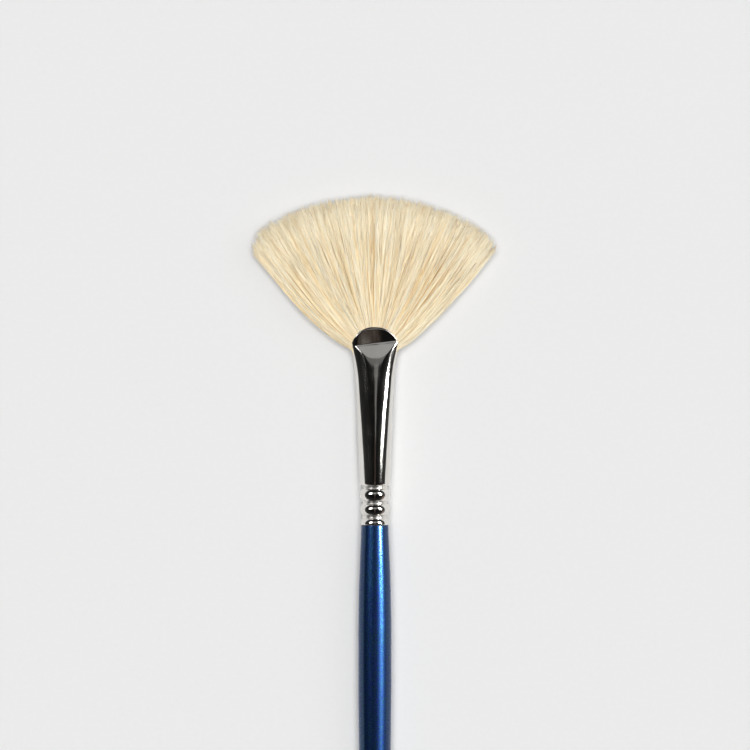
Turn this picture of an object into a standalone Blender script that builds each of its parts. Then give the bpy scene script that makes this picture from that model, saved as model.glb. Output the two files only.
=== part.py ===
"""Long-handled hog-bristle fan brush, lying flat with its tip towards +Y and its fan spread along X.

Every station along the brush is measured from the seam between handle and ferrule: plus towards the tip,
minus towards the butt. The brush's axis is level, one belly radius above the ground.
"""

import math

import bmesh
import bpy

MM = 0.001
GAP = 0.3 * MM  # left between pieces that touch on the real brush
ROUND_SIDES = 24

# Handle
BUTT_STATION = -222.0 * MM
BUTT_FLAT_RADIUS = 1.3 * MM
BUTT_ROUNDING = 0.8 * MM
BUTT_TAPER_START = 6.0 * MM  # from the butt, where the long taper's rows start
BELLY_START = -38.0 * MM  # the belly is a level stretch with the brush's balance point in it
BELLY_END = -24.5 * MM
BELLY_RADIUS = 4.0 * MM
BUTT_TAPER_POWER = 0.65  # below 1, the handle thins soon after its belly
SHOULDER_TAPER_POWER = 1.05
SHOULDER_RADIUS = 3.45 * MM
SHOULDER_ROUNDING = 0.4 * MM
TENON_END = 22.0 * MM
TENON_CHAMFER = 0.8 * MM

# Ferrule: a drawn tube, round at the handle and flattened at the mouth
WALL = 0.35 * MM
TUBE_RADIUS = 3.55 * MM
CRIMP_END = 10.0 * MM
CRIMP_RINGS = (  # (station, outer radius) at each crest and groove
    (GAP, 3.45 * MM),
    (1.9 * MM, 3.02 * MM),
    (3.7 * MM, TUBE_RADIUS),
    (5.4 * MM, 2.98 * MM),
    (7.0 * MM, TUBE_RADIUS),
    (8.8 * MM, 3.22 * MM),
    (CRIMP_END, TUBE_RADIUS),
)
TAPER_WIDENING = 0.04  # half-width gained per length of taper
FLARE_START = 34.0 * MM
FLARE_WIDENING = 1.1 * MM  # on top of the taper's, growing with the square of the length
CREASE_STATION = 43.4 * MM
CREASE_HALF_THICKNESS = 1.3 * MM
MOUTH_HALF_THICKNESS = 1.9 * MM
THINNING_POWER = 1.35
ROUND_SQUARENESS = 2.0  # superellipse exponent of the section, a true circle here
MOUTH_SQUARENESS = 3.0
SQUARING_START = 20.0 * MM
FACET_STATION = 37.5 * MM  # the tip of the facet, where its pressing starts
LIP_SIDE_STATION = 41.0 * MM
LIP_ARCH_HEIGHT = 6.3 * MM
LIP_ARCH_POWER = 2.3
LIP_SPREAD = 0.2 * MM  # how far the lip flares out again past the crease
LIP_END = LIP_SIDE_STATION + LIP_ARCH_HEIGHT
FERRULE_SIDES = 32

# Pieces set inside the ferrule
ADHESIVE_LENGTH = 1.6 * MM
ADHESIVE_EDGE = 0.5 * MM
ADHESIVE_DISH = 0.9 * MM  # depth of the bead's hollow top, if it went on to a point
CEMENT_START = 25.4 * MM
CEMENT_END = 34.0 * MM
CEMENT_FLOOR = 1.5 * MM
BUNDLE_START = CEMENT_START + CEMENT_FLOOR + GAP
BUNDLE_HALF_WIDTH = 2.7 * MM
BUNDLE_HALF_THICKNESS = 0.75 * MM
BUNDLE_SQUARENESS = 2.6
THREAD_STATION = 35.2 * MM
THREAD_RADIUS = 0.15 * MM
THREAD_PITCH = 0.4 * MM
THREAD_TURNS = 4
THREAD_POINTS = 16  # in each turn

# Fan
HAIR_HALF_THICKNESS = 0.6 * MM  # where the fan leaves the mouth
HAIR_MIDDLE_HALF_THICKNESS = 0.9 * MM
HAIR_TIP_HALF_THICKNESS = 0.4 * MM
THICKEST_SHARE = 0.35  # of the way from the flex line to the tips
ROOT_STEP_START = 43.5 * MM
ROOT_STEP_END = 43.9 * MM
ROOT_END = LIP_END + GAP
FLEX_STATION = ROOT_END + GAP + HAIR_HALF_THICKNESS
FAN_CENTRE_STATION = 37.2 * MM  # the point that the tips are spread around
FAN_RADIUS = 41.0 * MM
FAN_WING_GAIN = 1.9 * MM  # extra reach of the wings over the middle
FAN_CORNER_LOSS = 1.2 * MM
CORNER_POWER = 12  # the higher, the closer to the fan's edge the loss stays
FAN_HALF_ANGLE = math.radians(45)
ROOT_HALF_ANGLE = math.radians(52)
MOUTH_HAIR_HALF_WIDTH = 5.6 * MM
HAIR_BEND = 0.37  # share of its length that a hair keeps its first direction
FRONT_LOCKS = 9
LOCK_COLUMNS = 5
LOCK_ROWS = 7
TIP_SCALLOP = 0.9 * MM
ROOT_TURN = math.radians(72)  # how far round the flex line a lock's root reaches
LAYER_GAP = 0.12 * MM  # from the middle plane to each layer
FAN_REACH = FAN_CENTRE_STATION + FAN_RADIUS

# Where the brush lies: middle of its length at Y = 0, belly on the ground
SEAM_Y = -(BUTT_STATION + FAN_REACH) / 2
AXIS_HEIGHT = BELLY_RADIUS


def smooth(t):
    """Ease from 0 to 1, level at both ends."""
    t = min(max(t, 0.0), 1.0)
    return t * t * (3 - 2 * t)


def mix(a, b, t):
    return a + (b - a) * t


def spread(start, end, count):
    """Evenly spaced values, both ends included."""
    return [mix(start, end, i / (count - 1)) for i in range(count)]


def through(points, station):
    """Ease from point to point of a list of (station, value)."""
    for (s0, v0), (s1, v1) in zip(points, points[1:]):
        if station <= s1:
            return mix(v0, v1, smooth((station - s0) / (s1 - s0)))
    return points[-1][1]


# ---- materials and objects ----


def material(name, colour, roughness, metallic):
    made = bpy.data.materials.new(name)
    made.use_nodes = True
    shader = made.node_tree.nodes["Principled BSDF"]
    shader.inputs["Base Color"].default_value = (*colour, 1.0)
    shader.inputs["Roughness"].default_value = roughness
    shader.inputs["Metallic"].default_value = metallic
    return made


def place(name, data, parent, look):
    """Link a new object under the empty that carries it."""
    made = bpy.data.objects.new(name, data)
    bpy.context.collection.objects.link(made)
    made.parent = parent
    data.materials.append(material(name, *look))
    return made


def empty(name, location, parent=None):
    made = bpy.data.objects.new(name, None)
    bpy.context.collection.objects.link(made)
    made.location = location
    made.parent = parent
    return made


def finish_mesh(name, bm, sharp_angle=40):
    bmesh.ops.remove_doubles(bm, verts=bm.verts, dist=1e-7)
    bmesh.ops.recalc_face_normals(bm, faces=bm.faces)
    mesh = bpy.data.meshes.new(name)
    bm.to_mesh(mesh)
    bm.free()
    mesh.shade_smooth()
    mesh.set_sharp_from_angle(angle=math.radians(sharp_angle))
    return mesh


def lofted(name, rings, closed=False):
    """Skin a list of rings of points. Its ends are capped, or joined to each other when closed."""
    bm = bmesh.new()
    rows = [[bm.verts.new(point) for point in ring] for ring in rings]
    sides = len(rows[0])
    pairs = list(zip(rows, rows[1:]))
    if closed:
        pairs.append((rows[-1], rows[0]))
    for low, high in pairs:
        for i in range(sides):
            j = (i + 1) % sides
            bm.faces.new((low[i], low[j], high[j], high[i]))
    if not closed:
        bm.faces.new(rows[0][::-1])
        bm.faces.new(rows[-1])
    return finish_mesh(name, bm)


# ---- ferrule sections, which the pieces inside it follow too ----


def tube_half_width(station):
    if station <= CRIMP_END:
        return through(CRIMP_RINGS, station)
    flare = max(0.0, (station - FLARE_START) / (CREASE_STATION - FLARE_START))
    taper = TAPER_WIDENING * (min(station, CREASE_STATION) - CRIMP_END)
    return TUBE_RADIUS + taper + FLARE_WIDENING * min(flare, 1.0) ** 2


def tube_half_thickness(station):
    if station <= CRIMP_END:
        return through(CRIMP_RINGS, station)
    along = min(1.0, (station - CRIMP_END) / (CREASE_STATION - CRIMP_END))
    return mix(TUBE_RADIUS, MOUTH_HALF_THICKNESS, along**THINNING_POWER)


def facet_height(station):
    """Height of the pressed triangular facet, then of the lip past its crease."""
    if station < FACET_STATION:
        return TUBE_RADIUS
    if station < CREASE_STATION:
        t = (station - FACET_STATION) / (CREASE_STATION - FACET_STATION)
        return mix(tube_half_thickness(FACET_STATION), CREASE_HALF_THICKNESS, t)
    return CREASE_HALF_THICKNESS + LIP_SPREAD * (station - CREASE_STATION) / (LIP_END - CREASE_STATION)


def squareness(station):
    squared = smooth((station - SQUARING_START) / (CREASE_STATION - SQUARING_START))
    return mix(ROUND_SQUARENESS, MOUTH_SQUARENESS, squared)


def superellipse(angle, half_width, half_thickness, power):
    c, s = math.cos(angle), math.sin(angle)
    x = math.copysign(abs(c) ** (2 / power), c) * half_width
    z = math.copysign(abs(s) ** (2 / power), s) * half_thickness
    return x, z


def tube_point(angle, station, inset):
    """A point of the tube's outside, or of a surface set in from it."""
    x, z = superellipse(
        angle,
        tube_half_width(station) - inset,
        tube_half_thickness(station) - inset,
        squareness(station),
    )
    top = facet_height(station) - inset
    return x, station, min(max(z, -top), top)


def tube_ring(station, inset):
    return [tube_point(a, station, inset) for a in ring_angles(FERRULE_SIDES)]


def ring_angles(count):
    return [math.tau * i / count for i in range(count)]


def lip_station(angle):
    """Where the arched mouth cuts the tube, at an angle round its section."""
    across = abs(math.cos(angle)) ** (2 / MOUTH_SQUARENESS)
    return LIP_SIDE_STATION + LIP_ARCH_HEIGHT * (1 - across**LIP_ARCH_POWER) ** (1 / LIP_ARCH_POWER)


# ---- the pieces ----


def tenon_radius(station):
    """The tenon fills the tube, so the crimps press their grooves into it."""
    return min(tube_half_width(station), tube_half_thickness(station)) - WALL - GAP


def handle_radius(station):
    """Outside of the handle's body, from its butt to its shoulder."""
    if station > BELLY_END:
        rise = smooth(1 - station / BELLY_END) ** SHOULDER_TAPER_POWER
        return mix(BELLY_RADIUS, SHOULDER_RADIUS, rise)
    along = max(0.0, BELLY_START - station) / (BELLY_START - BUTT_STATION)
    butt_radius = BUTT_FLAT_RADIUS + BUTT_ROUNDING
    return mix(butt_radius, BELLY_RADIUS, (math.cos(math.pi * along**BUTT_TAPER_POWER) + 1) / 2)


def handle_profile():
    """(radius, station) from the middle of the butt to the middle of the tenon's end."""
    profile = [(0.0, BUTT_STATION)]
    for turn in spread(0.0, math.radians(90), 5):
        radius = BUTT_FLAT_RADIUS + BUTT_ROUNDING * math.sin(turn)
        profile.append((radius, BUTT_STATION + BUTT_ROUNDING * (1 - math.cos(turn))))
    profile += [(handle_radius(s), s) for s in spread(BUTT_STATION + BUTT_TAPER_START, BELLY_START, 13)]
    profile += [(handle_radius(s), s) for s in spread(BELLY_END, -3 * SHOULDER_ROUNDING, 7)]
    for turn in spread(math.radians(15), math.radians(90), 4):
        radius = SHOULDER_RADIUS - SHOULDER_ROUNDING * (1 - math.cos(turn))
        profile.append((radius, SHOULDER_ROUNDING * (math.sin(turn) - 1)))
    profile += [(tenon_radius(s), s) for s in spread(0.0, CRIMP_END, 17)]
    profile += [(tenon_radius(s), s) for s in spread(CRIMP_END, TENON_END - TENON_CHAMFER, 5)[1:]]
    profile.append((tenon_radius(TENON_END) - TENON_CHAMFER, TENON_END))
    profile.append((0.0, TENON_END))
    return profile


def handle_mesh():
    """Turned about the axis, with the middle of a facet lowest, so that the belly rests flat on the ground."""
    bm = bmesh.new()
    half_side = math.pi / ROUND_SIDES
    points = []
    for radius, station in handle_profile():
        corner = radius / math.cos(half_side) if station < 0 else radius
        points.append(bm.verts.new((corner * math.sin(half_side), station, -corner * math.cos(half_side))))
    edges = [bm.edges.new(pair) for pair in zip(points, points[1:])]
    bmesh.ops.spin(
        bm,
        geom=points + edges,
        cent=(0, 0, 0),
        axis=(0, 1, 0),
        angle=math.tau,
        steps=ROUND_SIDES,
        use_merge=True,
    )
    return finish_mesh("handle", bm)


def ferrule_stations(angle):
    """Stations of the tube's rows at an angle round it: the rows near the mouth follow its arch."""
    lip = lip_station(angle)
    crease = min(CREASE_STATION, lip - GAP)
    rows = spread(GAP, CRIMP_END, 17)
    rows += spread(CRIMP_END, FACET_STATION, 7)[1:]
    rows += spread(FACET_STATION, crease, 5)[1:]
    rows += spread(crease, lip, 4)[1:]
    return rows


def ferrule_mesh():
    angles = ring_angles(FERRULE_SIDES)
    rows = list(zip(*(ferrule_stations(a) for a in angles)))
    outside = [[tube_point(a, s, 0.0) for a, s in zip(angles, row)] for row in rows]
    inside = [[tube_point(a, s, WALL) for a, s in zip(angles, row)] for row in rows]
    return lofted("ferrule", outside + inside[::-1], closed=True)


def adhesive_mesh():
    """A bead against the tenon's end, with a hollow top."""
    start = TENON_END + GAP
    end = start + ADHESIVE_LENGTH
    inset = WALL + GAP
    rings = [tube_ring(start, inset + ADHESIVE_EDGE), tube_ring(start + GAP, inset), tube_ring(end, inset)]
    for share in (0.8, 0.5):
        top = end - ADHESIVE_DISH * (1 - share)
        rings.append([(x * share, top, z * share) for x, _, z in tube_ring(end, inset)])
    return lofted("tenon_adhesive", rings)


def bundle_half_width(station):
    """Half-width of the gathered bristle: tied at its butts, as wide as the tube lets it be at the mouth."""
    if station >= ROOT_STEP_END:
        return fan_half_width(station)
    opened = smooth((station - THREAD_STATION) / (ROOT_STEP_START - THREAD_STATION))
    return mix(BUNDLE_HALF_WIDTH, tube_half_width(LIP_SIDE_STATION) - WALL - GAP, opened)


def bundle_ring(station, margin=0.0):
    pinch = smooth((station - THREAD_STATION) / (ROOT_STEP_START - THREAD_STATION))
    half_thickness = mix(BUNDLE_HALF_THICKNESS, HAIR_HALF_THICKNESS, pinch)
    ring = []
    for angle in ring_angles(FERRULE_SIDES):
        half_width = bundle_half_width(station) + margin
        x, z = superellipse(angle, half_width, half_thickness + margin, BUNDLE_SQUARENESS)
        ring.append((x, station, z))
    return ring


def cement_mesh():
    """A cup: its outside follows the tube and its bore holds the butts of the bundle."""
    outside = [tube_ring(s, WALL + GAP) for s in spread(CEMENT_START, CEMENT_END, 4)]
    floor = CEMENT_START + CEMENT_FLOOR
    bore = [bundle_ring(s, GAP) for s in spread(CEMENT_END, floor, 3)]
    return lofted("bristle_cement", outside + bore)


def thread_curve():
    """A few tight turns round the bundle, just above the cement."""
    curve = bpy.data.curves.new("binding_thread", "CURVE")
    curve.dimensions = "3D"
    curve.bevel_depth = THREAD_RADIUS
    curve.bevel_resolution = 1
    curve.use_fill_caps = True
    count = THREAD_TURNS * THREAD_POINTS + 1
    spline = curve.splines.new("POLY")
    spline.points.add(count - 1)
    margin = GAP + THREAD_RADIUS
    half_width = BUNDLE_HALF_WIDTH + margin
    half_thickness = BUNDLE_HALF_THICKNESS + margin
    for i, point in enumerate(spline.points):
        turn = i / THREAD_POINTS
        x, z = superellipse(math.tau * turn, half_width, half_thickness, BUNDLE_SQUARENESS)
        point.co = (x, THREAD_STATION + THREAD_PITCH * turn, z, 1.0)
    return curve


def root_mesh():
    inside = [bundle_ring(s) for s in spread(BUNDLE_START, ROOT_STEP_START, 9)]
    outside = [bundle_ring(s) for s in spread(ROOT_STEP_END, ROOT_END, 4)]
    return lofted("bristle_root", inside + outside)


# ---- the fan ----


def hair_point(across, along):
    """Plan position (x, station) on a hair.

    across runs from -1 to 1 over the fan, along from 0 at the mouth to 1 at the tip.
    """
    side = abs(across)
    mouth_x = MOUTH_HAIR_HALF_WIDTH * across
    arch = (1 - (abs(mouth_x) / tube_half_width(CREASE_STATION)) ** LIP_ARCH_POWER) ** (1 / LIP_ARCH_POWER)
    mouth_s = LIP_SIDE_STATION + LIP_ARCH_HEIGHT * arch
    reach = FAN_RADIUS + FAN_WING_GAIN * side**2 - FAN_CORNER_LOSS * side**CORNER_POWER
    tip_x = reach * math.sin(FAN_HALF_ANGLE * across)
    tip_s = FAN_CENTRE_STATION + reach * math.cos(FAN_HALF_ANGLE * across)
    first = HAIR_BEND * math.hypot(tip_x - mouth_x, tip_s - mouth_s)
    bend_x = mouth_x + first * math.sin(ROOT_HALF_ANGLE * across)
    bend_s = mouth_s + first * math.cos(ROOT_HALF_ANGLE * across)
    x = mix(mix(mouth_x, bend_x, along), mix(bend_x, tip_x, along), along)
    station = mix(mix(mouth_s, bend_s, along), mix(bend_s, tip_s, along), along)
    return x, station


def along_at(across, station):
    """How far along its length a hair crosses a station."""
    low, high = 0.0, 1.0
    for _ in range(40):
        middle = (low + high) / 2
        if hair_point(across, middle)[1] < station:
            low = middle
        else:
            high = middle
    return low


def fan_half_width(station):
    return hair_point(1.0, along_at(1.0, station))[0]


def hair_half_thickness(share):
    """Of the whole fan, from the flex line to the tips."""
    if share < THICKEST_SHARE:
        return mix(HAIR_HALF_THICKNESS, HAIR_MIDDLE_HALF_THICKNESS, smooth(share / THICKEST_SHARE))
    past = (share - THICKEST_SHARE) / (1 - THICKEST_SHARE)
    return mix(HAIR_MIDDLE_HALF_THICKNESS, HAIR_TIP_HALF_THICKNESS, smooth(past))


def lock_ring(plan, inner, outer):
    """A flat ring of points: out along the layer's inner side and back along its outer side."""
    there = [(x, s, inner) for x, s in plan]
    back = [(x, s, outer) for x, s in plan[::-1]]
    return there + back


def lock_mesh(name, start, end, side):
    """One lock of the fan, between two values of across. side is 1 in the front layer and -1 in the back."""
    trim = GAP / 2 / fan_half_width(FLEX_STATION)
    columns = spread(start + trim, end - trim, LOCK_COLUMNS)
    rings = []
    # The root is round about the flex line, so that it turns without touching the fixed bristle.
    for turn in spread(ROOT_TURN, 0.0, 4)[:-1]:
        below = -HAIR_HALF_THICKNESS * math.sin(turn)
        outer = HAIR_HALF_THICKNESS * math.cos(turn)
        plan = [(hair_point(a, along_at(a, FLEX_STATION))[0], below) for a in columns]
        rings.append(lock_ring(plan, side * LAYER_GAP, side * outer))
    for share in spread(0.0, 1.0, LOCK_ROWS):
        plan = []
        for i, across in enumerate(columns):
            edge = abs(2 * i / (LOCK_COLUMNS - 1) - 1)
            first = along_at(across, FLEX_STATION)
            last = 1 - edge**2 * TIP_SCALLOP / (FAN_REACH - FLEX_STATION)
            x, station = hair_point(across, mix(first, last, share))
            plan.append((x, station - FLEX_STATION))
        rings.append(lock_ring(plan, side * LAYER_GAP, side * hair_half_thickness(share)))
    return lofted(name, rings)


def build_fan(flex_line, look):
    width = 2 / FRONT_LOCKS
    for i in range(FRONT_LOCKS):
        name = f"lock_front_{i + 1:02d}"
        start = -1 + width * i
        place(name, lock_mesh(name, start, start + width, 1), flex_line, look)
    for i in range(FRONT_LOCKS - 1):
        name = f"lock_back_{i + 1:02d}"
        start = -1 + width * (i + 0.5)
        place(name, lock_mesh(name, start, start + width, -1), flex_line, look)


def main():
    for old in list(bpy.data.objects):
        bpy.data.objects.remove(old, do_unlink=True)

    # Colour, roughness and metallic value
    lacquer = ((0.012, 0.045, 0.16), 0.2, 0.0)
    nickel = ((0.62, 0.6, 0.56), 0.12, 1.0)
    glue = ((0.55, 0.42, 0.22), 0.45, 0.0)
    cement = ((0.30, 0.22, 0.12), 0.5, 0.0)
    thread = ((0.7, 0.66, 0.58), 0.8, 0.0)
    bristle = ((0.83, 0.70, 0.48), 0.6, 0.0)

    seam = empty("seam", (0.0, SEAM_Y, AXIS_HEIGHT))
    place("handle", handle_mesh(), seam, lacquer)
    place("ferrule", ferrule_mesh(), seam, nickel)
    place("tenon_adhesive", adhesive_mesh(), seam, glue)
    place("bristle_cement", cement_mesh(), seam, cement)
    place("binding_thread", thread_curve(), seam, thread)
    place("bristle_root", root_mesh(), seam, bristle)

    flex_line = empty("flex_line", (0.0, FLEX_STATION, 0.0), parent=seam)
    build_fan(flex_line, bristle)


main()
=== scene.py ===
"""Looks of the fan paint brush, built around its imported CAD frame.

Lengths are in metres. A station is a distance along the brush from the seam between handle and ferrule,
plus towards the bristle tips. A height is measured from the brush's axis.
"""

import math

import bpy
import numpy as np
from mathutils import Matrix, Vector


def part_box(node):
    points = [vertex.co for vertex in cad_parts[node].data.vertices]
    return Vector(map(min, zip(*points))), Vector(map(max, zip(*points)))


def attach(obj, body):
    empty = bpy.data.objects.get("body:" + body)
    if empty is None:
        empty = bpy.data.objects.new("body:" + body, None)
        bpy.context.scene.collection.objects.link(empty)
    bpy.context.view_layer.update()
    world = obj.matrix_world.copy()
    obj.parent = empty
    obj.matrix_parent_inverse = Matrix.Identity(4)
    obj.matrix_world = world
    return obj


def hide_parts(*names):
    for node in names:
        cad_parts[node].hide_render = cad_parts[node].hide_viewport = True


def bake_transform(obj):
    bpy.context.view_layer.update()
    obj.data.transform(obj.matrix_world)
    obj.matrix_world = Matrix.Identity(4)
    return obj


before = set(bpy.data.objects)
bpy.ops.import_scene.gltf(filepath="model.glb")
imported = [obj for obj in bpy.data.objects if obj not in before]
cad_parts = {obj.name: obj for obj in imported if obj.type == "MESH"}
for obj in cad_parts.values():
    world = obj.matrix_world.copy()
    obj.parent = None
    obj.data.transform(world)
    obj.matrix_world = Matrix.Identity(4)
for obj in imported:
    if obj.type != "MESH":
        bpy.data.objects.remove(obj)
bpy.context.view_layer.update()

MM = 0.001
BODY = "brush"

# Where the frame puts the brush
GAP = 0.3 * MM  # between the CAD handle and ferrule
SEAM_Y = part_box("ferrule")[0].y - GAP
BELLY_RADIUS = (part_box("handle")[1].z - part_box("handle")[0].z) / 2
AXIS_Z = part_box("handle")[0].z + BELLY_RADIUS
BUTT_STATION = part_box("handle")[0].y - SEAM_Y
TENON_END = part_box("handle")[1].y - SEAM_Y

# Handle, as in the CAD
BELLY_START = -38.0 * MM
BELLY_END = -24.5 * MM
BUTT_FLAT_RADIUS = 1.3 * MM
BUTT_ROUNDING = 0.8 * MM
BUTT_ROUNDING_ROWS = 12
BUTT_TAPER_POWER = 0.65
SHOULDER_POINTS = (  # (station, radius), easing down to the ferrule
    (BELLY_END, BELLY_RADIUS),
    (-17.4 * MM, 3.895 * MM),
    (-11.7 * MM, 3.72 * MM),
    (-6.0 * MM, 3.50 * MM),
    (-3.0 * MM, 3.37 * MM),
    (0.0, 3.22 * MM),
)
SHOULDER_EASING = 2.5 * MM  # the shoulder is smoothed over this much each way
SHOULDER_EASING_SAMPLES = 21
SHOULDER_ROUNDING = 0.15 * MM
SHOULDER_ROUNDING_ROWS = 10
TENON_RADIUS = 2.4 * MM
HANDLE_SIDES = 144
HANDLE_ROWS = 180
HANDLE_SHARP_ANGLE = math.radians(50)
CLOSED_RADIUS = 1e-6  # of the ring that closes each end
SEAM_GAP = 0.05 * MM  # left open between the lacquer and the ferrule

# Ferrule, as in the CAD
WALL = 0.35 * MM
TUBE_RADIUS = 3.55 * MM
CRIMP_END = 10.0 * MM
CRIMP_FLOOR = 2.86 * MM  # outer radius at the bottom of the rolled grooves
CRIMP_BEADS = (  # (station of the crest, outer radius there, rounding radius)
    (0.35 * MM, 3.50 * MM, 1.75 * MM),
    (3.69 * MM, TUBE_RADIUS, 1.80 * MM),
    (7.20 * MM, TUBE_RADIUS, 2.05 * MM),
    (CRIMP_END, TUBE_RADIUS, 0.65 * MM),
)
CRIMP_BLEND = 0.035 * MM  # softness where a bead meets the groove's floor
GROOVE_RADIUS = 3.15 * MM  # below this the metal is matt and dented
GROOVE_FADE = 0.2 * MM
TAPER_WIDENING = 0.04
FLARE_START = 34.0 * MM
FLARE_WIDENING = 1.1 * MM
CREASE_STATION = 43.4 * MM
CREASE_SLANT = 0.12  # the crease isn't quite square to the axis
CREASE_HALF_THICKNESS = 1.3 * MM
MOUTH_HALF_THICKNESS = 1.9 * MM
THINNING_POWER = 1.35
MOUTH_SQUARENESS = 2.3
SQUARING_START = 20.0 * MM
FACET_STATION = 37.2 * MM
FACET_DEPTH = 0.6 * MM  # below the tube's top, at the crease
FACET_ROUNDING = 0.03 * MM
FACET_HOLLOWING = 2.5  # power of its depth along the brush, which draws its sides to a point
FACET_ROLL = 0.03  # the facet isn't quite level across the brush
LIP_CAMBER = 0.0075 / MM  # drop of the pressed top away from its middle, over the distance squared
LIP_SIDE_STATION = 41.0 * MM
LIP_ARCH_HEIGHT = 6.3 * MM
LIP_ARCH_POWER = 2.3
LIP_SPREAD = 0.2 * MM
LIP_EDGE_RADIUS = 0.45 * MM
LIP_EDGE_DROP = 0.14 * MM
LIP_EDGE_ROWS = 9
FERRULE_COLUMNS = 192
CRIMP_ROWS = 104
BODY_ROWS = 50
MOUTH_ROWS = 88
MOUTH_ROWS_START = FACET_STATION - 2 * MM
SECTION_SAMPLES = 4097
TABLE_STATIONS = 1000
TABLE_END = CREASE_STATION + 5 * MM  # past the mouth

# Fan, as in the CAD
FAN_CENTRE_STATION = 37.2 * MM
FAN_RADIUS = 41.0 * MM
FAN_WING_GAIN = 2.7 * MM
LEFT_CORNER_LOSS = 3.3 * MM
RIGHT_CORNER_LOSS = 1.6 * MM
RIGHT_WING_LOSS = 1.4 * MM  # the right wing is a little shorter
CORNER_POWER = 14
FAN_HALF_ANGLE = math.radians(45)
ROOT_HALF_ANGLE = math.radians(58)
LEFT_WING_DROP = math.radians(1.1)  # the left wing hangs a little lower than the right
LEFT_ROOT_DROP = 3 * LEFT_WING_DROP
MOUTH_HAIR_HALF_WIDTH = 5.65 * MM
HAIR_BEND = 0.33
FRONT_LOCKS = 9
FRONT_SEED = 100
BACK_SEED = 200

# Bristles. Places across the fan run from -1 to 1, and strays without a unit are shares of that.
WISPS_IN_A_LOCK = 64
WISP_TIP_SPREAD = 0.024
WISP_LENGTH = 1.01  # of the fan's reach, for the longest
WISP_SHORTENING = 0.045
WISP_TONE = 0.60  # from 0, dark gold, to 1, cream
WISP_TONE_SPREAD = 0.11
WISP_BOW = 0.22 * MM
WISP_RIPPLE = 0.09 * MM
DARK_WISPS = 0.015  # share of them
DARK_WISP_TONE = 0.12
BRISTLES_IN_A_WISP = 5
BRISTLE_RADIUS = 0.07 * MM
BRISTLE_RADIUS_RANGE = (0.75, 1.2)  # shares of that
ROOT_STRAY = 0.018
TIP_STRAY = 0.006
TIP_SPREAD = 0.005
DEPTH_STRAY = 0.22  # share of the fan's half depth
TIP_DEPTH_RANGE = (0.6, 1.0)  # a tip lies nearer the middle than its root
TIP_DEPTH_SPREAD = 0.12
BRISTLE_SHORTENING = 0.07
BRISTLE_TONE_SPREAD = 0.17
BRISTLE_BOW = 0.05 * MM
BRISTLE_RIPPLE = 0.03 * MM
DARK_BRISTLES = 0.09
DARK_BRISTLE_TONE = 0.24
EDGE_ROOT = 0.995  # the outermost place across the mouth
MOUTH_INSET = 1.8 * MM  # the bristles start to spread this far inside the mouth
HIDDEN_ROOT = 2.5 * MM  # straight length below that
HIDDEN_WIDTH = 0.74  # the hidden root's width and depth, against the mouth's
HIDDEN_DEPTH = 0.9
HIDDEN_THICKNESS = 0.8  # of a bristle, as a share of its full thickness
ROOT_THICKNESS = 0.85
THICKENING_END = 0.3  # share of the length
THINNING_START = 0.6
TIP_THINNING = 0.4
MOUTH_HALF_DEPTH = 0.92 * MM
MIDDLE_HALF_DEPTH = 0.95 * MM
TIP_HALF_DEPTH = 0.5 * MM
DEEPEST_AT = 0.3  # share of the length
BRISTLE_POINTS = 15
FLAGS = 2  # split ends on each bristle
FLAG_POINTS = 6
SPLIT_RANGE = (0.80, 0.9)  # where it starts, as a share of the bristle
FLAG_LENGTH_RANGE = (0.85, 1.12)  # against the rest of the bristle
FLAG_THICKNESS = (0.85, 0.50)  # at the split and at the tip
FLAG_SPREAD = 0.24 * MM
FLAG_RISE = 0.16 * MM
FLAG_CURVE = 1.4  # power of a flag's parting along its length

# Camera and floor
CAMERA_DISTANCE = 1.0
VIEW_WIDTH = 179.25 * MM
VIEW_CENTRE_X = 0.03 * MM
VIEW_CENTRE_STATION = 35.85 * MM
SENSOR = 36.0
FLOOR_SIZE = 8.0
CLIP_START = 0.05
CLIP_END = 20.0
WORLD_STOPS = ((0.045, 0.83), (0.14, 0.04), (0.8, 0.006))  # (height of a direction, brightness)

MIX_FACTOR, MIX_A, MIX_B, MIX_RESULT = 0, 6, 7, 2  # colour sockets of the mix node, which has no unique names


# ---- numbers ----


def smooth(t):
    t = np.clip(t, 0.0, 1.0)
    return t * t * (3 - 2 * t)


def mix(a, b, t):
    return a + (b - a) * t


def soft_min(a, b, reach):
    """The lower of two values, rounded where they cross."""
    low = np.minimum(a, b)
    return low - reach * np.log(np.exp((low - a) / reach) + np.exp((low - b) / reach))


def place(x, station, height):
    """Points of the row frame from brush coordinates."""
    return np.stack(np.broadcast_arrays(x, SEAM_Y + station, AXIS_Z + height), axis=-1)


# ---- meshes ----


def grid_mesh(name, rows):
    """A mesh from rows of points that each close into a ring. Its UV layer unrolls the grid."""
    count, columns = rows.shape[:2]
    index = np.arange(count * columns).reshape(count, columns)
    right = np.roll(index, -1, axis=1)
    quads = np.stack([index[:-1], right[:-1], right[1:], index[1:]], axis=-1).reshape(-1, 4)
    column = np.broadcast_to(np.arange(columns), (count - 1, columns))
    row = np.broadcast_to(np.arange(count - 1)[:, None], (count - 1, columns))
    u = np.stack([column, column + 1, column + 1, column], axis=-1) / columns
    v = np.stack([row, row, row + 1, row + 1], axis=-1) / (count - 1)
    return raw_mesh(name, rows.reshape(-1, 3), quads, np.stack([u, v], axis=-1).reshape(-1, 2))


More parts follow.
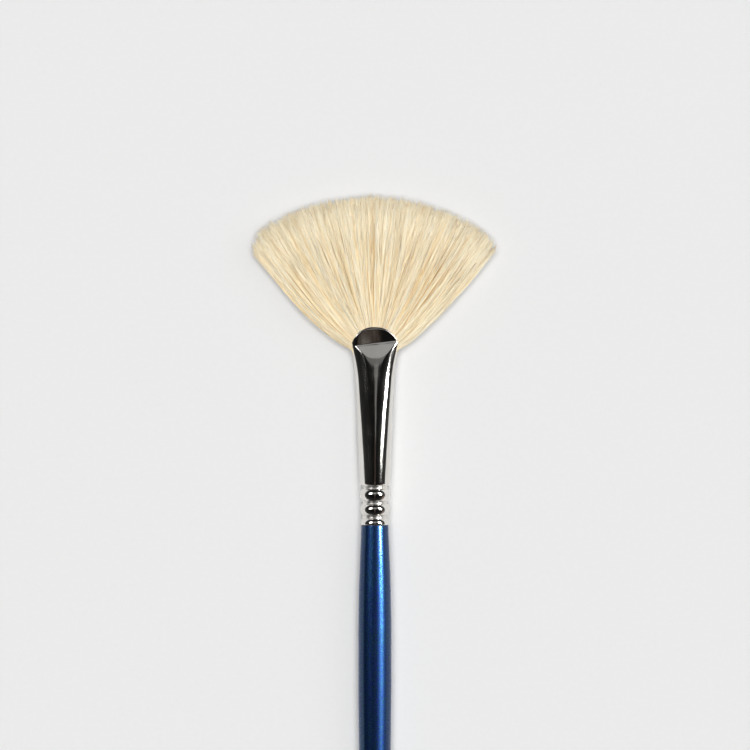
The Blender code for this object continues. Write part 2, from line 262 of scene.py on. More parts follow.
def raw_mesh(name, points, quads, uv):
    mesh = bpy.data.meshes.new(name)
    mesh.vertices.add(len(points))
    mesh.vertices.foreach_set("co", np.asarray(points, np.float32).ravel())
    mesh.loops.add(quads.size)
    mesh.loops.foreach_set("vertex_index", quads.astype(np.int32).ravel())
    mesh.polygons.add(len(quads))
    mesh.polygons.foreach_set("loop_start", np.arange(0, quads.size, 4, dtype=np.int32))
    mesh.polygons.foreach_set("loop_total", np.full(len(quads), 4, np.int32))
    mesh.polygons.foreach_set("use_smooth", np.ones(len(quads), bool))
    mesh.update(calc_edges=True)
    layer = mesh.uv_layers.new(name="OFBake")
    layer.data.foreach_set("uv", np.asarray(uv, np.float32).ravel())
    mesh.validate()
    return mesh


def add_attribute(mesh, name, values):
    layer = mesh.attributes.new(name, "FLOAT", "POINT")
    layer.data.foreach_set("value", values.astype(np.float32))


def put_in_scene(name, data):
    made = bpy.data.objects.new(name, data)
    bpy.context.scene.collection.objects.link(made)
    return made


def add_object(name, mesh, look):
    mesh.materials.append(look)
    return put_in_scene(name, mesh)


# ---- material nodes ----


class Nodes:
    """Short calls for building one material's nodes."""

    def __init__(self, name):
        self.material = bpy.data.materials.new(name)
        self.material.use_nodes = True
        self.tree = self.material.node_tree
        self.tree.nodes.clear()
        self.out = self.add("ShaderNodeOutputMaterial")

    def add(self, kind, inputs=None, **settings):
        node = self.tree.nodes.new(kind)
        for key, value in settings.items():
            setattr(node, key, value)
        for key, value in (inputs or {}).items():
            if isinstance(value, bpy.types.NodeSocket):
                self.tree.links.new(value, node.inputs[key])
            else:
                node.inputs[key].default_value = value
        return node

    def noise(self, vector, scale, detail=2.0, roughness=0.5):
        inputs = {"Vector": vector, "Scale": scale, "Detail": detail, "Roughness": roughness}
        return self.add("ShaderNodeTexNoise", inputs).outputs["Fac"]

    def position(self, scale=(1.0, 1.0, 1.0)):
        coordinates = self.add("ShaderNodeTexCoord").outputs["Object"]
        return self.add("ShaderNodeMapping", {"Vector": coordinates, "Scale": scale}).outputs["Vector"]

    def ramp(self, factor, stops):
        node = self.add("ShaderNodeValToRGB", {"Fac": factor})
        ramp = node.color_ramp
        while len(ramp.elements) < len(stops):
            ramp.elements.new(0.5)
        for element, (at, colour) in zip(ramp.elements, stops):
            element.position = at
            element.color = (*colour, 1.0)
        return node.outputs["Color"]

    def remap(self, value, old, new):
        """The value, carried from one range to another."""
        inputs = {"Value": value, "From Min": old[0], "From Max": old[1], "To Min": new[0], "To Max": new[1]}
        return self.add("ShaderNodeMapRange", inputs).outputs["Result"]

    def math(self, operation, a, b):
        return self.add("ShaderNodeMath", {0: a, 1: b}, operation=operation).outputs["Value"]

    def blend(self, factor, colour, other):
        """A linked colour, blended into a constant one."""
        inputs = {MIX_FACTOR: factor, MIX_A: colour, MIX_B: (*other, 1.0)}
        return self.add("ShaderNodeMix", inputs, data_type="RGBA").outputs[MIX_RESULT]

    def bump(self, height, strength, distance):
        inputs = {"Height": height, "Strength": strength, "Distance": distance}
        return self.add("ShaderNodeBump", inputs).outputs["Normal"]

    def attribute(self, name):
        return self.add("ShaderNodeAttribute", attribute_name=name).outputs["Fac"]

    def principled(self, inputs):
        shader = self.add("ShaderNodeBsdfPrincipled", inputs)
        self.tree.links.new(shader.outputs["BSDF"], self.out.inputs["Surface"])
        return self.material


def lacquer_look():
    """Dark blue lacquer with fine pearl flakes in it, under a clear coat."""
    n = Nodes("pearl_blue_lacquer")
    cells = n.add("ShaderNodeTexVoronoi", {"Vector": n.position(), "Scale": 9000.0}).outputs["Color"]
    flake = n.add("ShaderNodeSeparateColor", {"Color": cells}).outputs["Red"]
    drift = n.noise(n.position((1.0, 0.25, 1.0)), scale=500.0, detail=3.0)
    tone = n.math("ADD", n.math("MULTIPLY", flake, 0.75), n.math("MULTIPLY", drift, 0.25))
    stops = [(0.15, (0.018, 0.085, 0.107)), (0.5, (0.011, 0.036, 0.098)), (0.9, (0.009, 0.008, 0.133))]
    return n.principled(
        {
            "Base Color": n.ramp(tone, stops),
            "Metallic": 0.96,
            "Roughness": n.remap(flake, (0.0, 1.0), (0.23, 0.44)),
            "Coat Weight": 1.0,
            "Coat Roughness": 0.06,
            "Coat IOR": 1.35,
            "Specular Tint": (0.35, 0.45, 0.70, 1.0),
            "Normal": n.bump(flake, strength=0.12, distance=0.02 * MM),
        }
    )


def nickel_look():
    """Bright nickel plate: faintly smudged and wavy, with fine polishing lines and matt, dented grooves."""
    n = Nodes("nickel_plate")
    smudge = n.noise(n.position((1.0, 0.5, 1.0)), scale=260.0, detail=4.0, roughness=0.6)
    lines = n.noise(n.position((9000.0, 120.0, 9000.0)), scale=1.0)
    waves = n.noise(n.position((1.0, 0.35, 1.0)), scale=300.0, detail=1.0)
    dents = n.noise(n.position((1.0, 1.8, 1.0)), scale=1500.0)
    groove = n.attribute("groove")
    smudged = n.remap(smudge, (0.3, 0.7), (0.05, 0.10))
    rough = n.math("ADD", smudged, n.remap(lines, (0.3, 0.7), (0.0, 0.02)))
    height = n.math("ADD", n.math("MULTIPLY", lines, 0.02), waves)
    height = n.math("ADD", height, n.math("MULTIPLY", groove, n.math("MULTIPLY", dents, 2.2)))
    return n.principled(
        {
            "Base Color": n.ramp(smudge, [(0.3, (0.74, 0.715, 0.67)), (0.7, (0.82, 0.80, 0.765))]),
            "Metallic": 1.0,
            "Roughness": n.math("MAXIMUM", rough, n.math("MULTIPLY", groove, 0.32)),
            "Normal": n.bump(height, strength=1.0, distance=0.06 * MM),
        }
    )


def bristle_look():
    """Natural hog bristle: each strand has its own shade, golden to cream, and pales towards its tip."""
    n = Nodes("hog_bristle")
    along = n.attribute("along")
    shades = [
        (0.0, (0.50, 0.32, 0.15)),
        (0.2, (0.90, 0.66, 0.34)),
        (0.5, (0.985, 0.85, 0.575)),
        (0.8, (0.99, 0.925, 0.75)),
    ]
    colour = n.ramp(n.attribute("tone"), shades)
    colour = n.blend(n.remap(along, (0.70, 1.0), (0.0, 0.45)), colour, (1.0, 0.94, 0.76))
    colour = n.blend(n.remap(along, (0.25, 0.0), (0.0, 0.35)), colour, (0.88, 0.78, 0.60))
    streak = n.noise(n.position((5000.0, 400.0, 5000.0)), scale=1.0)
    return n.principled(
        {
            "Base Color": colour,
            "Roughness": n.remap(streak, (0.3, 0.7), (0.40, 0.52)),
            "Specular IOR Level": 0.25,
            "Normal": n.bump(streak, strength=0.2, distance=0.02 * MM),
        }
    )


def bundle_look():
    """The packed bristle in the mouth, under the loose strands."""
    n = Nodes("packed_bristle")
    strands = n.noise(n.position((7000.0, 160.0, 7000.0)), scale=1.0)
    return n.principled(
        {
            "Base Color": n.ramp(strands, [(0.3, (0.55, 0.40, 0.22)), (0.7, (0.84, 0.72, 0.50))]),
            "Roughness": 0.6,
            "Normal": n.bump(strands, strength=0.5, distance=0.08 * MM),
        }
    )


def cast_look(name, dark, pale, roughness):
    """Hardened glue or cement: slightly cloudy, with a rippled skin."""
    n = Nodes(name)
    cloud = n.noise(n.position(), scale=900.0, detail=3.0)
    return n.principled(
        {
            "Base Color": n.ramp(cloud, [(0.3, dark), (0.7, pale)]),
            "Roughness": roughness,
            "Normal": n.bump(cloud, strength=0.3, distance=0.05 * MM),
        }
    )


def thread_look():
    """Pale cotton with slanting plies."""
    n = Nodes("cotton_thread")
    inputs = {"Vector": n.position(), "Scale": 2600.0, "Distortion": 2.0}
    ply = n.add("ShaderNodeTexWave", inputs, bands_direction="DIAGONAL").outputs["Fac"]
    return n.principled(
        {
            "Base Color": n.ramp(ply, [(0.2, (0.60, 0.56, 0.48)), (0.8, (0.80, 0.77, 0.70))]),
            "Roughness": 0.85,
            "Normal": n.bump(ply, strength=0.6, distance=0.05 * MM),
        }
    )


def floor_look():
    """Even pale grey with a very faint grain."""
    n = Nodes("paper_floor")
    grain = n.noise(n.position(), scale=900.0)
    return n.principled(
        {
            "Base Color": n.ramp(grain, [(0.3, (0.745, 0.745, 0.745)), (0.7, (0.755, 0.755, 0.755))]),
            "Roughness": 0.9,
            "Specular IOR Level": 0.1,
        }
    )


# ---- handle ----


def handle_radius(station):
    if station > BELLY_END:
        at, radius = zip(*SHOULDER_POINTS)
        away = np.linspace(-SHOULDER_EASING, SHOULDER_EASING, SHOULDER_EASING_SAMPLES)
        around = np.clip(station + away, BELLY_START, 0.0)
        return float(np.interp(around, at, radius).mean())
    along = max(0.0, BELLY_START - station) / (BELLY_START - BUTT_STATION)
    butt_radius = BUTT_FLAT_RADIUS + BUTT_ROUNDING
    return mix(butt_radius, BELLY_RADIUS, (math.cos(math.pi * along**BUTT_TAPER_POWER) + 1) / 2)


def handle_profile():
    """(radius, station) from the middle of the butt to the middle of the tenon's end."""
    profile = [(CLOSED_RADIUS, BUTT_STATION), (BUTT_FLAT_RADIUS / 2, BUTT_STATION)]
    for turn in np.linspace(0.0, math.pi / 2, BUTT_ROUNDING_ROWS):
        radius = BUTT_FLAT_RADIUS + BUTT_ROUNDING * math.sin(turn)
        profile.append((radius, BUTT_STATION + BUTT_ROUNDING * (1 - math.cos(turn))))
    body = np.linspace(BUTT_STATION + 2 * BUTT_ROUNDING, -SHOULDER_ROUNDING, HANDLE_ROWS)
    profile += [(handle_radius(s), s) for s in body]
    edge = handle_radius(-SHOULDER_ROUNDING)
    for turn in np.linspace(0.0, math.pi / 2, SHOULDER_ROUNDING_ROWS)[1:]:
        radius = edge - SHOULDER_ROUNDING * (1 - math.cos(turn))
        profile.append((radius, SHOULDER_ROUNDING * (math.sin(turn) - 1)))
    profile += [(TENON_RADIUS, 0.0), (TENON_RADIUS, TENON_END - WALL), (TENON_RADIUS - WALL, TENON_END)]
    profile.append((CLOSED_RADIUS, TENON_END))
    return np.array(profile)


def build_handle():
    profile = handle_profile()
    turn = np.linspace(0.0, math.tau, HANDLE_SIDES, endpoint=False)
    radius, station = profile[:, :1], profile[:, 1:]
    rows = place(radius * np.sin(turn), station + 0 * turn, -radius * np.cos(turn))
    made = add_object("handle_lacquered", grid_mesh("handle_lacquered", rows), lacquer_look())
    made.data.set_sharp_from_angle(angle=HANDLE_SHARP_ANGLE)
    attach(made, BODY)
    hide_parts("handle")
    return made


# ---- ferrule ----


def crimp_radius(station):
    """Rolled crimps: round beads between narrow grooves."""
    levels = [np.full_like(station, CRIMP_FLOOR)]
    for crest, radius, rounding in CRIMP_BEADS:
        away = np.minimum(np.abs(station - crest), rounding)
        levels.append(radius - rounding + np.sqrt(rounding**2 - away**2))
    levels = np.array(levels)
    top = levels.max(axis=0)
    return top + CRIMP_BLEND * np.log(np.exp((levels - top) / CRIMP_BLEND).sum(axis=0))


def tube_half_width(station):
    flare = np.clip((station - FLARE_START) / (CREASE_STATION - FLARE_START), 0.0, 1.0)
    taper = TAPER_WIDENING * (np.minimum(station, CREASE_STATION) - CRIMP_END)
    wide = TUBE_RADIUS + taper + FLARE_WIDENING * flare**2
    return np.where(station <= CRIMP_END, crimp_radius(station), wide)


def tube_half_thickness(station):
    along = np.clip((station - CRIMP_END) / (CREASE_STATION - CRIMP_END), 0.0, 1.0)
    thin = mix(TUBE_RADIUS, MOUTH_HALF_THICKNESS, along**THINNING_POWER)
    return np.where(station <= CRIMP_END, crimp_radius(station), thin)


def facet_height(station):
    """Height of the pressed facet, then of the lip past its crease."""
    along = (station - FACET_STATION) / (CREASE_STATION - FACET_STATION)
    facet = tube_half_thickness(station) - FACET_DEPTH * np.sign(along) * np.abs(along) ** FACET_HOLLOWING
    lip_end = LIP_SIDE_STATION + LIP_ARCH_HEIGHT
    lip = CREASE_HALF_THICKNESS + LIP_SPREAD * (station - CREASE_STATION) / (lip_end - CREASE_STATION)
    return np.where(station < CREASE_STATION, facet, lip)


def section_table(stations, inset):
    """(x, height) of each column at each station, evenly spaced round the section."""
    angle = np.linspace(0.0, math.tau, SECTION_SAMPLES)
    c, s = np.cos(angle), np.sin(angle)
    table = np.empty((len(stations), FERRULE_COLUMNS, 2))
    for i, station in enumerate(stations):
        squared = smooth((station - SQUARING_START) / (CREASE_STATION - SQUARING_START))
        power = 2 / mix(2.0, MOUTH_SQUARENESS, squared)
        x = np.sign(c) * np.abs(c) ** power * (float(tube_half_width(np.array(station))) - inset)
        z = np.sign(s) * np.abs(s) ** power * (float(tube_half_thickness(np.array(station))) - inset)
        length = np.concatenate([[0.0], np.cumsum(np.hypot(np.diff(x), np.diff(z)))])
        even = np.linspace(0.0, length[-1], FERRULE_COLUMNS, endpoint=False)
        table[i, :, 0] = np.interp(even, length, x)
        table[i, :, 1] = np.interp(even, length, z)
    return table


def tube_surface(stations, inset):
    """Points of the tube for a grid of stations (rows, columns)."""
    known = np.linspace(0.0, TABLE_END, TABLE_STATIONS)
    table = section_table(known, inset)
    x = np.empty(stations.shape)
    z = np.empty(stations.shape)
    for j in range(FERRULE_COLUMNS):
        x[:, j] = np.interp(stations[:, j], known, table[:, j, 0])
        z[:, j] = np.interp(stations[:, j], known, table[:, j, 1])
    top = facet_height(stations - CREASE_SLANT * x * np.sign(z)) - LIP_CAMBER * x**2 - FACET_ROLL * x - inset
    height = np.sign(z) * soft_min(np.abs(z), top, FACET_ROUNDING)
    return x, height


def lip_stations():
    """Where the arched mouth cuts each column."""
    table = section_table([CREASE_STATION], 0.0)[0]
    across = np.abs(table[:, 0]) / np.abs(table[:, 0]).max()
    return LIP_SIDE_STATION + LIP_ARCH_HEIGHT * (1 - across**LIP_ARCH_POWER) ** (1 / LIP_ARCH_POWER)


def ferrule_rows(inset, end):
    """Stations of the rows from the seam to the mouth, closer together where the shape changes fast."""
    crimps = np.linspace(SEAM_GAP + WALL / 2, CRIMP_END, CRIMP_ROWS)
    body = np.linspace(CRIMP_END, MOUTH_ROWS_START, BODY_ROWS)[1:]
    fixed = np.concatenate([crimps, body])[:, None] + np.zeros(FERRULE_COLUMNS)
    share = np.linspace(0.0, 1.0, MOUTH_ROWS)[1:, None]
    mouth = mix(fixed[-1], end, share)
    stations = np.concatenate([fixed, mouth])
    x, height = tube_surface(stations, inset)
    return place(x, stations, height)


def round_lip(outer, inner):
    """Outer rows that curve towards the inner wall just before the mouth's edge."""
    near = np.clip(1 - (outer[-1, :, 1] - outer[:, :, 1]) / LIP_EDGE_RADIUS, 0.0, 1.0)
    share = LIP_EDGE_DROP / WALL * (1 - np.sqrt(1 - near**2))
    return mix(outer, inner, share[:, :, None])


def rounded_edge(outer, inner, outward):
    """Rows that close a wall's edge with a half-round, from its outer row to its inner row."""
    middle, half = (outer + inner) / 2, (outer - inner) / 2
    reach = np.array([0.0, outward * WALL / 2, 0.0])
    turns = np.linspace(0.0, math.pi, LIP_EDGE_ROWS)[1:-1]
    return np.array([middle + half * math.cos(t) + reach * math.sin(t) for t in turns])


def build_ferrule():
    end = lip_stations() - WALL / 2
    outer, inner = ferrule_rows(0.0, end), ferrule_rows(WALL, end)
    outer = round_lip(outer, inner)
    lip = rounded_edge(outer[-1], inner[-1], 1)
    seam = rounded_edge(inner[0], outer[0], -1)
    rows = np.concatenate([outer, lip, inner[::-1], seam, outer[:1]])
    mesh = grid_mesh("ferrule_plated", rows)
    station = rows[:, :, 1].ravel() - SEAM_Y
    groove = smooth((GROOVE_RADIUS - crimp_radius(station)) / GROOVE_FADE) * (station < CRIMP_END)
    add_attribute(mesh, "groove", groove)
    made = add_object("ferrule_plated", mesh, nickel_look())
    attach(made, BODY)
    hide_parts("ferrule")


# ---- bristles ----


def hair_plan(root, tip, along):
    """(x, station) on bristles that leave the mouth at one place across the fan and end at another."""
    side, left, right = np.abs(tip), np.clip(-tip, 0.0, 1.0), np.clip(tip, 0.0, 1.0)
    mouth_x = MOUTH_HAIR_HALF_WIDTH * root
    wide = float(tube_half_width(np.array(CREASE_STATION)))
    arch = (1 - np.minimum(np.abs(mouth_x) / wide, 1.0) ** LIP_ARCH_POWER) ** (1 / LIP_ARCH_POWER)
    mouth_s = LIP_SIDE_STATION + LIP_ARCH_HEIGHT * arch - MOUTH_INSET
    corner_loss = np.where(tip < 0, LEFT_CORNER_LOSS, RIGHT_CORNER_LOSS) * side**CORNER_POWER
    reach = FAN_RADIUS + FAN_WING_GAIN * side**2 - RIGHT_WING_LOSS * right - corner_loss
    tip_angle = FAN_HALF_ANGLE * tip - LEFT_WING_DROP * left**2
    tip_x = reach * np.sin(tip_angle)
    tip_s = FAN_CENTRE_STATION + reach * np.cos(tip_angle)
    first = HAIR_BEND * np.hypot(tip_x - mouth_x, tip_s - mouth_s)
    root_angle = ROOT_HALF_ANGLE * root - LEFT_ROOT_DROP * left**2
    bend_x = mouth_x + first * np.sin(root_angle)
    bend_s = mouth_s + first * np.cos(root_angle)
    x = mix(mix(mouth_x, bend_x, along), mix(bend_x, tip_x, along), along)
    station = mix(mix(mouth_s, bend_s, along), mix(bend_s, tip_s, along), along)
    return x, station


def half_depth(along):
    """Half the fan's thickness, from the mouth to the tips."""
    rise = smooth(along / DEEPEST_AT)
    fall = smooth((along - DEEPEST_AT) / (1 - DEEPEST_AT))
    return mix(mix(MOUTH_HALF_DEPTH, MIDDLE_HALF_DEPTH, rise), TIP_HALF_DEPTH, fall)


def strand_tubes(centres, radii, twist):
    """Three-sided tubes round centre lines (strands, points, 3): points, quads and strip UVs."""
    strands, count = centres.shape[:2]
    tangent = np.gradient(centres, axis=1)
    tangent /= np.linalg.norm(tangent, axis=2, keepdims=True)
    side = np.cross(tangent, np.array([0.0, 0.0, 1.0]))
    side /= np.linalg.norm(side, axis=2, keepdims=True)
    up = np.cross(side, tangent)
    rings = []
    for corner in range(3):
        turn = (twist + math.tau * corner / 3)[:, None, None]
        rings.append(centres + radii[:, :, None] * (np.cos(turn) * side + np.sin(turn) * up))
    points = np.stack(rings, axis=2)
    index = np.arange(strands * count * 3).reshape(strands, count, 3)
    right = np.roll(index, -1, axis=2)
    quads = np.stack([index[:, :-1], right[:, :-1], right[:, 1:], index[:, 1:]], axis=-1)
    strand = np.arange(strands)[:, None, None]
    row = np.arange(count - 1)[None, :, None]
    corner = np.arange(3)[None, None, :]
    u0 = (strand + corner / 3) / strands + 0.0 * row
    u1 = (strand + (corner + 1) / 3) / strands + 0.0 * row
    v0 = row / (count - 1) + 0.0 * (strand + corner)
    v1 = (row + 1) / (count - 1) + 0.0 * (strand + corner)
    uv = np.stack([np.stack([u0, u1, u1, u0], -1), np.stack([v0, v0, v1, v1], -1)], -1)
    return points.reshape(-1, 3), quads.reshape(-1, 4), uv.reshape(-1, 2)


def wisp_plan(rng, start, width):
    """Root, tip, depth, length, tone, bow and ripple of each wisp in a lock."""
    n = WISPS_IN_A_LOCK
    root = start + width * (np.arange(n) + rng.random(n)) / n
    tip = root + rng.normal(0.0, WISP_TIP_SPREAD, n)
    depth = rng.random(n)
    length = WISP_LENGTH - WISP_SHORTENING * rng.random(n) ** 1.5
    tone = WISP_TONE + WISP_TONE_SPREAD * rng.normal(0.0, 1.0, n)
    tone = np.where(rng.random(n) < DARK_WISPS, DARK_WISP_TONE, tone)
    bow = rng.normal(0.0, WISP_BOW, n)
    ripple = rng.normal(0.0, WISP_RIPPLE, n)
    return np.stack([root, tip, depth, length, tone, bow, ripple])


def bristle_plan(rng, start, width, side):
    """The same for each bristle. It follows its wisp, with a small stray of its own."""
    wisps = np.repeat(wisp_plan(rng, start, width), BRISTLES_IN_A_WISP, axis=1)
    root, tip, depth, length, tone, bow, ripple = wisps
    count = len(root)
    stray = rng.uniform(-1.0, 1.0, count)
    root = np.clip(root + ROOT_STRAY * stray, -EDGE_ROOT, EDGE_ROOT)
    tip = np.clip(tip + TIP_STRAY * stray + rng.normal(0.0, TIP_SPREAD, count), -1.0, 1.0)
    depth = side * np.clip(depth + rng.uniform(-DEPTH_STRAY, DEPTH_STRAY, count), 0.0, 1.0)
    tip_depth = depth * rng.uniform(*TIP_DEPTH_RANGE, count) + rng.normal(0.0, TIP_DEPTH_SPREAD, count)
    length = length - BRISTLE_SHORTENING * rng.random(count) ** 1.6
    thick = BRISTLE_RADIUS * rng.uniform(*BRISTLE_RADIUS_RANGE, count)
    tone = np.clip(tone + BRISTLE_TONE_SPREAD * rng.normal(0.0, 1.0, count), 0.0, 1.0)
    tone = np.where(rng.random(count) < DARK_BRISTLES, DARK_BRISTLE_TONE * rng.random(count), tone)
    bow = bow + rng.normal(0.0, BRISTLE_BOW, count)
    ripple = ripple + rng.normal(0.0, BRISTLE_RIPPLE, count)
    return root, tip, depth, tip_depth, length, thick, tone, bow, ripple


def lock_strands(rng, start, width, side):
    """One lock's bristles, then their split ends: centre lines, radii, tones and shares of the length."""
    root, tip, depth, tip_depth, length, thick, tone, bow, ripple = bristle_plan(rng, start, width, side)
    count = len(root)

    def line(share):
        """Centre line at shares (strands, points) of each bristle's length from the mouth."""
        along = share * length[:, None]
        x, station = hair_plan(root[:, None], tip[:, None], along)
        swing = bow[:, None] * np.sin(math.pi * share) + ripple[:, None] * np.sin(3 * math.pi * share)
        lay = mix(depth[:, None], tip_depth[:, None], smooth(share))
        angle = FAN_HALF_ANGLE * mix(root, tip, 0.6)[:, None]
        return x + swing * np.cos(angle), station - swing * np.sin(angle), lay * half_depth(along)

    share = np.linspace(0.0, 1.0, BRISTLE_POINTS)[None, :] + np.zeros((count, 1))
    x, station, height = line(share)
    hidden = place(x[:, :1] * HIDDEN_WIDTH, station[:, :1] - HIDDEN_ROOT, height[:, :1] * HIDDEN_DEPTH)
    centres = np.concatenate([hidden, place(x, station, height)], axis=1)
    thickening = mix(ROOT_THICKNESS, 1.0, smooth(share / THICKENING_END))
    thinning = TIP_THINNING * smooth((share - THINNING_START) / (1 - THINNING_START))
    taper = thickening * (1 - thinning)
    radii = thick[:, None] * np.concatenate([np.full((count, 1), HIDDEN_THICKNESS), taper], axis=1)
    along = np.concatenate([np.zeros((count, 1)), share], axis=1)
    parts = [(centres, radii, tone, along)]
    for _ in range(FLAGS):
        split = rng.uniform(*SPLIT_RANGE, count)[:, None]
        past = np.linspace(0.0, 1.0, FLAG_POINTS)[None, :]
        share = split + (1 - split) * past * rng.uniform(*FLAG_LENGTH_RANGE, count)[:, None]
        x, station, height = line(share)
        angle = FAN_HALF_ANGLE * tip[:, None]
        away = rng.normal(0.0, FLAG_SPREAD, count)[:, None] * past**FLAG_CURVE
        rise = rng.normal(0.0, FLAG_RISE, count)[:, None] * past**FLAG_CURVE
        centres = place(x + away * np.cos(angle), station - away * np.sin(angle), height + rise)
        radii = thick[:, None] * mix(*FLAG_THICKNESS, past) + 0.0 * share
        parts.append((centres, radii, tone, np.minimum(share, 1.0)))
    return parts


def bristle_mesh(name, parts, rng):
    points, quads, uvs, tones, alongs = [], [], [], [], []
    offset = 0
    total = sum(len(p[0]) for p in parts)
    first = 0
    for centres, radii, tone, along in parts:
        p, q, uv = strand_tubes(centres, radii, rng.uniform(0.0, math.tau, len(centres)))
        uv[:, 0] = (uv[:, 0] * len(centres) + first) / total
        first += len(centres)
        points.append(p)
        quads.append(q + offset)
        uvs.append(uv)
        offset += len(p)
        tones.append(np.repeat(tone, 3 * centres.shape[1]))
        alongs.append(np.repeat(along.ravel(), 3))
    mesh = raw_mesh(name, np.concatenate(points), np.concatenate(quads), np.concatenate(uvs))
    add_attribute(mesh, "tone", np.concatenate(tones))
    add_attribute(mesh, "along", np.concatenate(alongs))
    return mesh


def build_lock(node, start, width, side, seed, look):
    rng = np.random.default_rng(seed)
    name = node.replace("lock", "bristles")
    made = add_object(name, bristle_mesh(name, lock_strands(rng, start, width, side), rng), look)
    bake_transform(made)
    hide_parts(node)


def build_fan():
    look = bristle_look()
    width = 2 / FRONT_LOCKS
    for i in range(FRONT_LOCKS):
        build_lock(f"lock_front_{i + 1:02d}", -1 + width * i, width, 1, FRONT_SEED + i, look)
    for i in range(FRONT_LOCKS - 1):
        build_lock(f"lock_back_{i + 1:02d}", -1 + width * (i + 0.5), width, -1, BACK_SEED + i, look)


# ---- carried-over nodes ----


def dress(node, look):
    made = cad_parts[node]
    made.data.materials.clear()
    made.data.materials.append(look)


def dress_hidden_pieces():
    glue = cast_look("wood_glue", (0.50, 0.38, 0.20), (0.66, 0.54, 0.34), roughness=0.4)
    cement = cast_look("bristle_cement", (0.24, 0.16, 0.08), (0.36, 0.26, 0.15), roughness=0.5)
    dress("tenon_adhesive", glue)
    dress("bristle_cement", cement)
    dress("binding_thread", thread_look())
    dress("bristle_root", bundle_look())


# ---- stage ----


def build_floor():
    mesh = bpy.data.meshes.new("floor")
    half = FLOOR_SIZE / 2
    corners = [(-half, -half, 0), (half, -half, 0), (half, half, 0), (-half, half, 0)]
    mesh.from_pydata(corners, [], [(0, 1, 2, 3)])
    made = add_object("floor", mesh, floor_look())


def panel(name, height, right, forward, radiance, colour=(1.0, 1.0, 1.0), only=None):
    """A level panel that shows in reflections, in those of one object only if it is given.

    Its sides stand right and forward of the seam by ratios of its height.
    """
    data = bpy.data.lights.new(name, "AREA")
    data.shape = "RECTANGLE"
    data.size = height * (right[1] - right[0])
    data.size_y = height * (forward[1] - forward[0])
    data.energy = radiance * math.pi * data.size * data.size_y
    data.color = colour
    made = put_in_scene(name, data)
    middle_x, middle_y = height * sum(right) / 2, height * sum(forward) / 2
    made.location = (middle_x, SEAM_Y + middle_y, AXIS_Z + height)
    made.visible_diffuse = False
    made.visible_camera = False
    if only:
        lit = bpy.data.collections.new(name + "_lit")
        lit.objects.link(only)
        made.light_linking.receiver_collection = lit


def sky_light(name, right, forward, spread, irradiance, colour=(1.0, 1.0, 1.0)):
    """Even soft light from one direction, given as ratios of height, for diffuse surfaces only."""
    data = bpy.data.lights.new(name, "SUN")
    data.angle = math.radians(spread)
    data.energy = irradiance
    data.color = colour
    made = put_in_scene(name, data)
    made.rotation_euler = Vector((right, forward, 1.0)).to_track_quat("Z", "Y").to_euler()
    made.visible_glossy = False


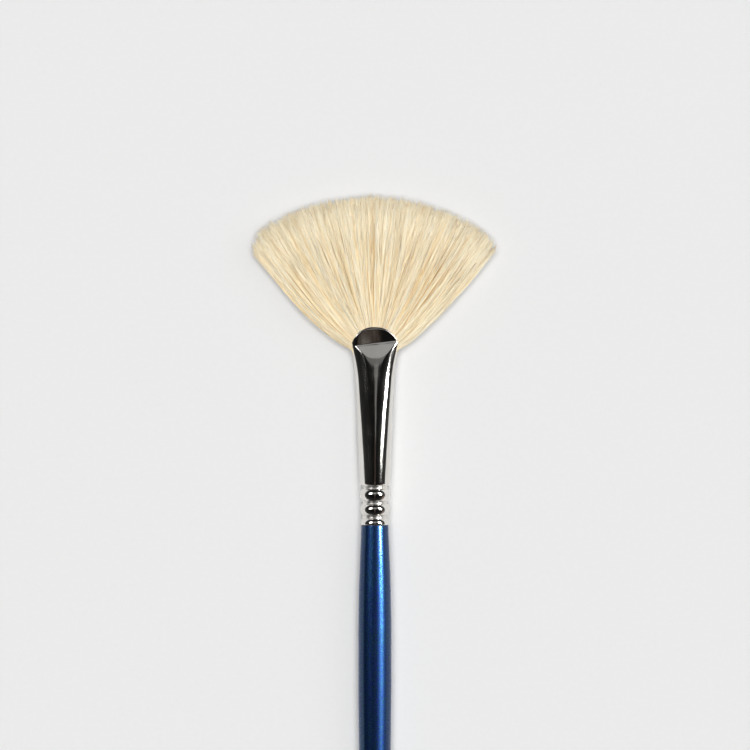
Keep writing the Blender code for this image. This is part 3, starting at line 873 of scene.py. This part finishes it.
def build_lights(handle):
    brown = (1.0, 0.70, 0.55)
    sky_light("overhead_fill", 0.0, 0.0, 40, 3.12)
    sky_light("key_fill", 1.05, 0.35, 50, 0.45, (1.0, 0.99, 0.97))
    panel("key_softbox_near", 0.75, (0.82, 1.34), (0.09, 0.24), 34.0)
    panel("key_on_lacquer", 0.73, (0.84, 1.44), (0.11, 0.24), 175.0, only=handle)
    panel("key_softbox_middle", 0.75, (0.72, 1.20), (0.24, 0.36), 18.0)
    panel("key_middle_on_lacquer", 0.73, (0.72, 1.30), (0.24, 0.36), 30.0, only=handle)
    panel("key_softbox_far", 0.75, (0.62, 1.12), (0.36, 0.80), 13.0)
    panel("key_lower_edge", 0.74, (0.84, 1.30), (0.04, 0.11), 38.0, only=handle)
    panel("key_inner_edge", 0.76, (0.48, 0.64), (0.34, 1.0), 0.8)
    panel("key_inner_fade", 0.77, (0.34, 0.48), (0.34, 1.0), 0.25)
    panel("key_outer_edge", 0.76, (1.30, 2.20), (0.20, 1.0), 0.35)
    panel("left_softbox", 0.75, (-1.10, -0.40), (0.21, 0.80), 4.0)
    panel("left_on_lacquer", 0.73, (-1.10, -0.40), (0.21, 0.80), 8.0, only=handle)
    panel("front_card", 0.80, (-0.25, 0.25), (0.31, 0.70), 0.37)
    panel("front_card_fade", 0.80, (-0.22, 0.22), (0.19, 0.31), 0.15)
    panel("right_low_card", 0.30, (2.0, 6.0), (-3.5, -0.6), 0.20, brown)
    panel("ceiling_strip", 0.82, (-0.06, 0.09), (-1.0, 0.10), 0.045, brown)
    panel("ceiling_strip_near", 0.81, (-0.03, 0.05), (-0.16, -0.05), 0.25)
    panel("ceiling_strip_far", 0.81, (0.0, 0.09), (0.105, 0.20), 0.17)


def build_world():
    """A dark ceiling over a pale horizon."""
    world = bpy.data.worlds.new("studio")
    world.use_nodes = True
    bpy.context.scene.world = world
    tree = world.node_tree
    background = tree.nodes["Background"]
    coordinates = tree.nodes.new("ShaderNodeTexCoord")
    split = tree.nodes.new("ShaderNodeSeparateXYZ")
    ramp = tree.nodes.new("ShaderNodeValToRGB")
    tree.links.new(coordinates.outputs["Generated"], split.inputs[0])
    tree.links.new(split.outputs["Z"], ramp.inputs["Fac"])
    tree.links.new(ramp.outputs["Color"], background.inputs["Color"])
    ramp.color_ramp.elements.new(0.5)
    for element, (at, level) in zip(ramp.color_ramp.elements, WORLD_STOPS):
        element.position = at
        element.color = (level, level, level, 1.0)
    background.inputs["Strength"].default_value = 1.0


def build_camera():
    data = bpy.data.cameras.new("camera")
    data.sensor_width = SENSOR
    data.lens = SENSOR * CAMERA_DISTANCE / VIEW_WIDTH
    data.clip_start = CLIP_START
    data.clip_end = CLIP_END
    made = put_in_scene("camera", data)
    made.location = (VIEW_CENTRE_X, SEAM_Y + VIEW_CENTRE_STATION, AXIS_Z + CAMERA_DISTANCE)
    bpy.context.scene.camera = made


def main():
    bpy.context.scene.view_settings.view_transform = "Standard"
    build_camera()
    build_world()
    build_lights(build_handle())
    build_floor()
    build_ferrule()
    build_fan()
    dress_hidden_pieces()


main()
